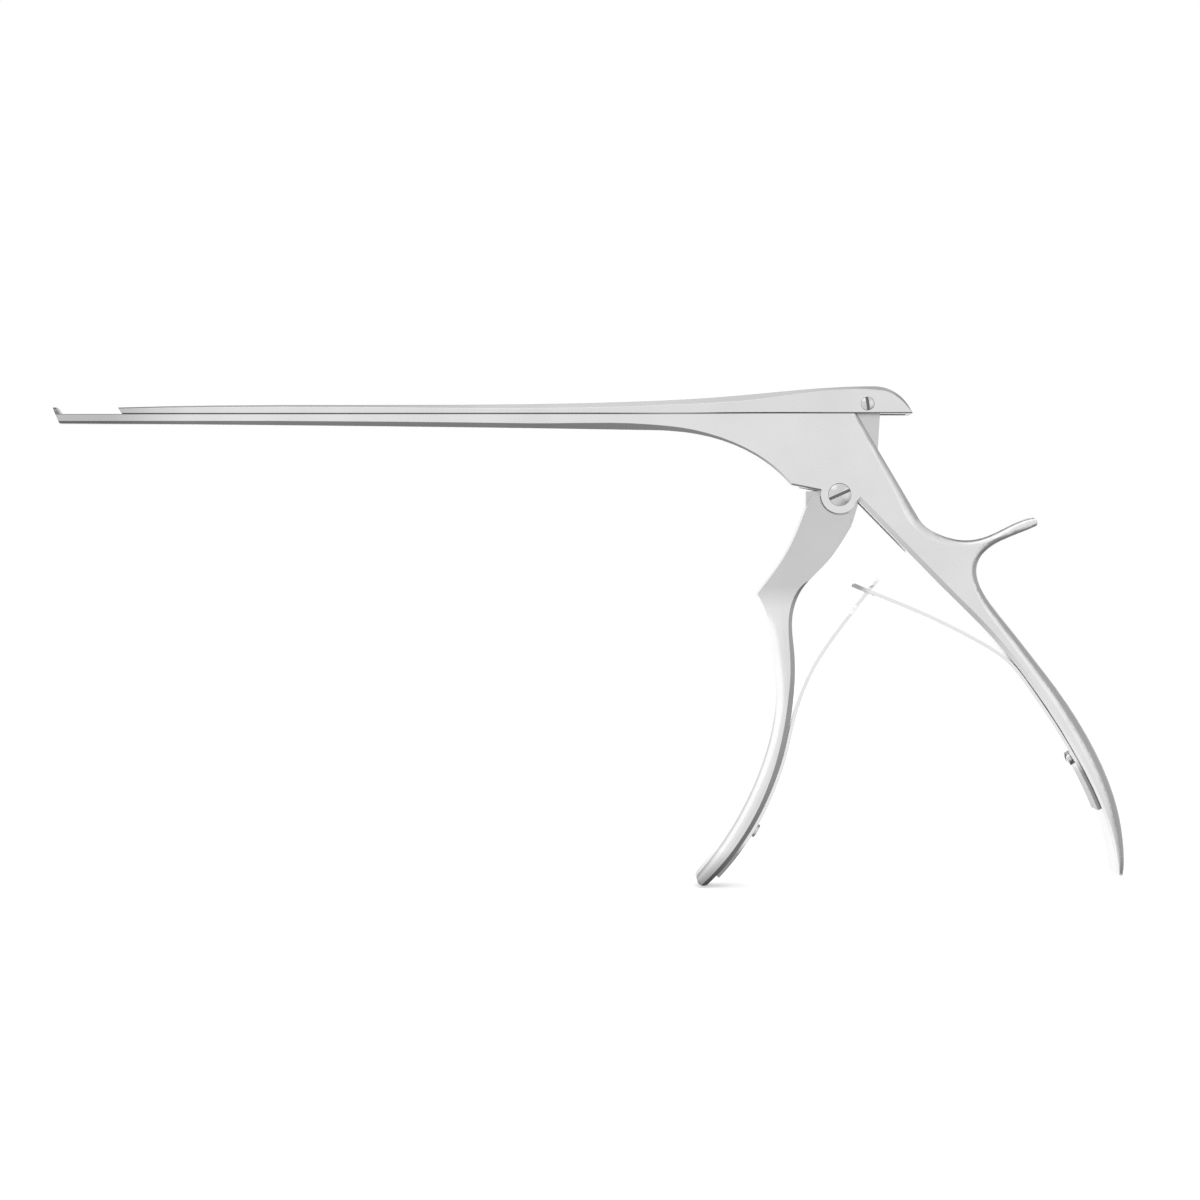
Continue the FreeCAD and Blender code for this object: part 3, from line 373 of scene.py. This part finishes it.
BLASTED_GRAIN = Vector((0.35, 0.35, 0.35)) * MM
BLASTED_DEPTH = 0.0012 * MM
BLASTED_SPREAD = 0.025
STEEL_CLOUDING = 0.06
STRIP_COLOUR = (0.90, 0.90, 0.90)
STRIP_ROUGHNESS = 0.24
STRIP_SPREAD = 0.04
STRIP_GRAIN = Vector((0.3, 6.0, 0.3)) * MM
STRIP_DEPTH = 0.003 * MM
STRIP_CLOUDING = 0.03

SATIN = SteelFinish(
    name="satin_steel", grain=Grain.BLASTED, colour=(0.81, 0.81, 0.815), roughness=0.27,
    roughness_spread=BLASTED_SPREAD, grain_size=BLASTED_GRAIN, grain_depth=BLASTED_DEPTH,
    clouding=STEEL_CLOUDING, shades=(END_SHADE, UNDER_JOINT_SHADE))
SHAFT_GROUND = SteelFinish(
    name="ground_shaft_steel", grain=Grain.BLASTED, colour=(0.79, 0.79, 0.795), roughness=0.25,
    roughness_spread=BLASTED_SPREAD, grain_size=Vector((0.6, 0.35, 0.35)) * MM,
    grain_depth=BLASTED_DEPTH, clouding=STEEL_CLOUDING, shades=(END_SHADE, OVER_JOINT_SHADE))
LEVER = SteelFinish(
    name="lever_steel", grain=Grain.BLASTED, colour=(0.82, 0.82, 0.825), roughness=0.27,
    roughness_spread=BLASTED_SPREAD, grain_size=BLASTED_GRAIN, grain_depth=BLASTED_DEPTH,
    clouding=STEEL_CLOUDING, shades=(PLATE_SHADE, GRIP_TIP_SHADE))
FRONT_SPRING = SteelFinish(
    name="front_spring_steel", grain=Grain.GROUND, colour=STRIP_COLOUR, roughness=STRIP_ROUGHNESS,
    roughness_spread=STRIP_SPREAD, grain_size=STRIP_GRAIN, grain_depth=STRIP_DEPTH,
    clouding=STRIP_CLOUDING, shades=(FRONT_TAIL_SHADE,))
REAR_SPRING = SteelFinish(
    name="rear_spring_steel", grain=Grain.GROUND, colour=STRIP_COLOUR, roughness=STRIP_ROUGHNESS,
    roughness_spread=STRIP_SPREAD, grain_size=STRIP_GRAIN, grain_depth=STRIP_DEPTH,
    clouding=STRIP_CLOUDING, shades=(REAR_TAIL_SHADE, FORKED_END_SHADE))


def node_centre(node: str) -> Vector:
    """The middle of a CAD node's box.

    Args:
        node: the node's name.

    Returns:
        The point, in the row frame.
    """
    low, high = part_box(node)
    return (low + high) / 2


def dress(node: str, finish: SteelFinish) -> None:
    """Gives a CAD node its finish.

    Args:
        node: the node's name.
        finish: the finish to build for it.
    """
    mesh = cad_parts[node].data
    mesh.materials.clear()
    mesh.materials.append(finish.build())
    LOG.info("%s dressed in %s", node, finish.name)


@dataclass
class SteelBody:
    """The frame, the slider and the lever, which carry a finish each on their own solids."""

    frame_finish: SteelFinish = SATIN
    slider_finish: SteelFinish = SHAFT_GROUND
    lever_finish: SteelFinish = LEVER

    def build(self) -> None:
        """Dresses the three large pieces."""
        dress("frame", self.frame_finish)
        dress("slider", self.slider_finish)
        dress("front_handle", self.lever_finish)


@dataclass
class Screws:
    """The four slotted screws, with turned and polished heads."""

    slot_floors: tuple[tuple[str, float | None], ...] = (
        ("pivot_screw", -3.78 * MM), ("slider_screw", -3.85 * MM),
        ("front_spring_screw", None), ("rear_spring_screw", None))
    colour: tuple[float, float, float] = (0.66, 0.66, 0.67)
    roughness: float = 0.09
    roughness_spread: float = 0.04
    ring_pitch: float = 0.22 * MM
    ring_depth: float = 0.002 * MM
    # Painted shade in the slots of the pivot and slider screws: the share of tone left there and the run it
    # falls over.
    slot_shade: float = 0.25
    slot_shade_run: float = 0.05 * MM

    def build(self) -> None:
        """Dresses each screw."""
        for node, slot_floor in self.slot_floors:
            dress(node, self.finish(node, slot_floor))

    def finish(self, node: str, slot_floor: float | None) -> SteelFinish:
        """The finish of one screw, with rings about its own centre and painted shade in its slot.

        Args:
            node: the screw's node.
            slot_floor: where the slot's floor lies along Y, or None where no painted shade is put in the
                slot.

        Returns:
            The finish.
        """
        shades: tuple[Shade, ...] = ()
        if slot_floor is not None:
            shades = (Shade("Y", slot_floor - self.slot_shade_run, slot_floor, self.slot_shade, stop=0.0),)
        return SteelFinish(
            name=f"{node}_steel", grain=Grain.TURNED, colour=self.colour, roughness=self.roughness,
            roughness_spread=self.roughness_spread, grain_size=Vector((self.ring_pitch,) * 3),
            grain_depth=self.ring_depth, clouding=STEEL_CLOUDING, centre=node_centre(node), shades=shades)


@dataclass
class BendingLeaf:
    """A leaf spring copied from its CAD node and cut into slices from its lift-off to past the crossing."""

    node: str
    own_body: str
    other_body: str
    lift_off: Vector
    crossing: Vector
    finish: SteelFinish
    slice_length: float = 1.0 * MM
    sharp_angle: float = math.radians(35)
    merge_distance: float = 0.001 * MM
    cut_tolerance: float = 0.0001 * MM

    def build(self) -> bpy.types.Object:
        """Copies the CAD leaf, cuts it into slices, gives it its finish and hides the CAD leaf.

        Returns:
            The leaf's object.
        """
        mesh = self.sliced_mesh()
        mesh.materials.append(self.finish.build())
        leaf = bpy.data.objects.new(f"{self.node}_leaf", mesh)
        bpy.context.scene.collection.objects.link(leaf)
        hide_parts(self.node)
        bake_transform(leaf)
        LOG.info("%s bends between %s and %s", leaf.name, self.own_body, self.other_body)
        return leaf

    def sliced_mesh(self) -> bpy.types.Mesh:
        """The CAD leaf's surface with a ring of edges at each slice.

        Returns:
            The new mesh.
        """
        shape = bmesh.new()
        shape.from_mesh(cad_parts[self.node].data)
        bmesh.ops.remove_doubles(shape, verts=shape.verts, dist=self.merge_distance)
        along = (self.crossing - self.lift_off).normalized()
        reach = 2 * (self.crossing - self.lift_off).length
        for step in range(int(reach / self.slice_length)):
            geometry = shape.verts[:] + shape.edges[:] + shape.faces[:]
            bmesh.ops.bisect_plane(shape, geom=geometry, dist=self.cut_tolerance, plane_no=along,
                                   plane_co=self.lift_off + along * self.slice_length * step)
        for face in shape.faces:
            face.smooth = True
        for edge in shape.edges:
            edge.smooth = edge.calc_face_angle(0.0) < self.sharp_angle
        mesh = bpy.data.meshes.new(f"{self.node}_leaf")
        shape.to_mesh(mesh)
        shape.free()
        return mesh


@dataclass
class LeafSprings:
    """The two interlocked leaf springs between the handles."""

    crossing: Vector = Vector((-27.6, 0.0, -6.4)) * MM
    front_lift_off: Vector = Vector((-45.4, 0.0, -37.7)) * MM
    rear_lift_off: Vector = Vector((9.0, 0.0, -22.2)) * MM

    def build(self) -> None:
        """Builds both leaves."""
        BendingLeaf("front_leaf_spring", "front_handle", "frame", self.front_lift_off, self.crossing,
                    FRONT_SPRING).build()
        BendingLeaf("rear_leaf_spring", "frame", "front_handle", self.rear_lift_off, self.crossing,
                    REAR_SPRING).build()


@dataclass(frozen=True)
class SoftBox:
    """A bright patch of the studio that only the steel sees."""

    aim: Vector
    level: float
    full_deg: float
    edge_deg: float

    def brightness(self, sheet: NodeSheet, direction: bpy.types.NodeSocket) -> bpy.types.NodeSocket:
        """How bright the patch is in a direction.

        Args:
            sheet: the world's tree.
            direction: the direction, of unit length.

        Returns:
            The level within the full angle from the aim, falling to 0 at the edge.
        """
        rim, core = ((1 + math.cos(math.radians(angle))) / 2 for angle in (self.edge_deg, self.full_deg))
        return sheet.between(sheet.towards(direction, self.aim), (rim, core), (0.0, self.level))


@dataclass(frozen=True)
class Lamp:
    """A square soft lamp: its name, place, side and power in watts."""

    name: str
    place: Vector
    size: float
    power: float


@dataclass
class Studio:
    """The floor, the lamps, the world and the camera."""

    floor_gap: float = 0.5 * MM
    floor_reach: float = 2.0
    floor_tone: float = 0.9
    floor_lift: float = 0.35
    aim: Vector = Vector((-92.1, 0.0, -6.9)) * MM
    near_flank: float = -4.0 * MM
    camera_distance: float = 500 * MM
    view_width: float = 292.7 * MM
    soft_level: float = 0.9
    window_direction: Vector = Vector((-0.55, -0.60, 0.50))
    window_levels: tuple[tuple[float, float], ...] = (
        (0.0, 0.20), (0.36, 0.20), (0.50, 0.34), (0.58, 0.56), (0.66, 0.84), (0.72, 0.90), (0.84, 0.93),
        (0.92, 1.0), (1.0, 1.0))
    ceiling_direction: Vector = Vector((0.0, 0.55, 0.83))
    ceiling_levels: tuple[tuple[float, float], ...] = ((0.0, 1.0), (0.85, 1.0), (0.94, 0.30), (1.0, 0.20))
    # Overhead, to the left, behind the part, and to the right.
    soft_boxes: tuple[SoftBox, ...] = (
        SoftBox(aim=Vector((0.0, -0.5, 0.85)), level=1.3, full_deg=10.0, edge_deg=24.0),
        SoftBox(aim=Vector((-1.0, -0.3, 0.0)), level=1.28, full_deg=32.0, edge_deg=62.0),
        SoftBox(aim=Vector((0.0, 1.0, 0.0)), level=1.25, full_deg=20.0, edge_deg=75.0),
        SoftBox(aim=Vector((1.0, 0.0, 0.2)), level=0.45, full_deg=25.0, edge_deg=60.0),
    )
    lamps: tuple[Lamp, ...] = (
        Lamp(name="key", place=Vector((-0.45, -0.75, 0.75)), size=0.7, power=1.0),
        Lamp(name="fill", place=Vector((0.55, -0.85, 0.1)), size=0.6, power=0.4),
    )

    def build(self) -> None:
        """Builds the whole studio."""
        self.floor()
        self.world()
        for lamp in self.lamps:
            self.hang(lamp)
        self.camera()

    def floor(self) -> None:
        """A pale floor under the lowest point of the part."""
        low = CAD_BOX[0].z - self.floor_gap
        reach = self.floor_reach
        mesh = bpy.data.meshes.new("floor")
        corners = [(-reach, -reach, low), (reach, -reach, low), (reach, reach, low), (-reach, reach, low)]
        mesh.from_pydata(corners, [], [(0, 1, 2, 3)])
        material = bpy.data.materials.new("floor_white")
        material.use_nodes = True
        sheet = NodeSheet(material.node_tree)
        shader = sheet.add("ShaderNodeBsdfDiffuse")
        shader.inputs["Color"].default_value = (self.floor_tone, self.floor_tone, self.floor_tone, 1.0)
        path = sheet.add("ShaderNodeLightPath")
        lift = sheet.add("ShaderNodeEmission")
        both = sheet.add("ShaderNodeAddShader")
        output = sheet.add("ShaderNodeOutputMaterial")
        sheet.join(
            Link(sheet.between(path.outputs["Is Camera Ray"], (0.0, 1.0), (0.0, self.floor_lift)),
                 lift.inputs["Strength"]),
            Link(shader.outputs["BSDF"], both.inputs[0]),
            Link(lift.outputs["Emission"], both.inputs[1]),
            Link(both.outputs["Shader"], output.inputs["Surface"]),
        )
        mesh.materials.append(material)
        floor = bpy.data.objects.new("floor", mesh)
        bpy.context.scene.collection.objects.link(floor)
        floor.visible_glossy = False
        LOG.info("floor at z = %.4f m", low)

    def world(self) -> None:
        """White to the camera, and to the steel a soft window, a dark ceiling and the soft boxes."""
        world = bpy.data.worlds.new("studio")
        world.use_nodes = True
        bpy.context.scene.world = world
        sheet = NodeSheet(world.node_tree)
        direction = sheet.add("ShaderNodeTexCoord").outputs["Generated"]
        window = sheet.ramp(sheet.towards(direction, self.window_direction), self.window_levels)
        ceiling = sheet.ramp(sheet.towards(direction, self.ceiling_direction), self.ceiling_levels)
        level = sheet.combined("MULTIPLY", window, ceiling)
        for box in self.soft_boxes:
            level = sheet.combined("MAXIMUM", level, box.brightness(sheet, direction))
        path = sheet.add("ShaderNodeLightPath")
        soft = sheet.add("ShaderNodeMix", data_type="FLOAT")
        seen = sheet.add("ShaderNodeMix", data_type="FLOAT")
        soft.inputs["A"].default_value = self.soft_level
        seen.inputs["B"].default_value = 1.0
        background = sheet.add("ShaderNodeBackground")
        output = sheet.add("ShaderNodeOutputWorld")
        sheet.join(
            Link(path.outputs["Is Glossy Ray"], soft.inputs["Factor"]),
            Link(level, soft.inputs["B"]),
            Link(path.outputs["Is Camera Ray"], seen.inputs["Factor"]),
            Link(soft.outputs["Result"], seen.inputs["A"]),
            Link(seen.outputs["Result"], background.inputs["Strength"]),
            Link(background.outputs["Background"], output.inputs["Surface"]),
        )
        background.inputs["Color"].default_value = (1.0, 1.0, 1.0, 1.0)
        LOG.info("world set with %d soft boxes", len(self.soft_boxes))

    def hang(self, lamp: Lamp) -> None:
        """Hangs a lamp so that it points at the part.

        Args:
            lamp: the lamp.
        """
        light = bpy.data.lights.new(lamp.name, "AREA")
        light.size = lamp.size
        light.energy = lamp.power
        holder = bpy.data.objects.new(lamp.name, light)
        holder.location = lamp.place
        holder.rotation_euler = (self.aim - lamp.place).to_track_quat("-Z", "Y").to_euler()
        bpy.context.scene.collection.objects.link(holder)

    def camera(self) -> None:
        """A camera square to the near flank, as the photograph was taken."""
        data = bpy.data.cameras.new("camera")
        data.lens = data.sensor_width * self.camera_distance / self.view_width
        camera = bpy.data.objects.new("camera", data)
        camera.location = (self.aim.x, self.near_flank - self.camera_distance, self.aim.z)
        camera.rotation_euler = (math.radians(90), 0.0, 0.0)
        bpy.context.scene.collection.objects.link(camera)
        bpy.context.scene.camera = camera


def main() -> None:
    """Builds the sub-assemblies in order, and then the studio."""
    logging.basicConfig(level=logging.INFO, format="%(message)s")
    bpy.context.scene.view_settings.view_transform = "Standard"
    for assembly in (SteelBody(), Screws(), LeafSprings(), Studio()):
        assembly.build()
        LOG.info("%s built", type(assembly).__name__)


if __name__ == "__main__":
    main()
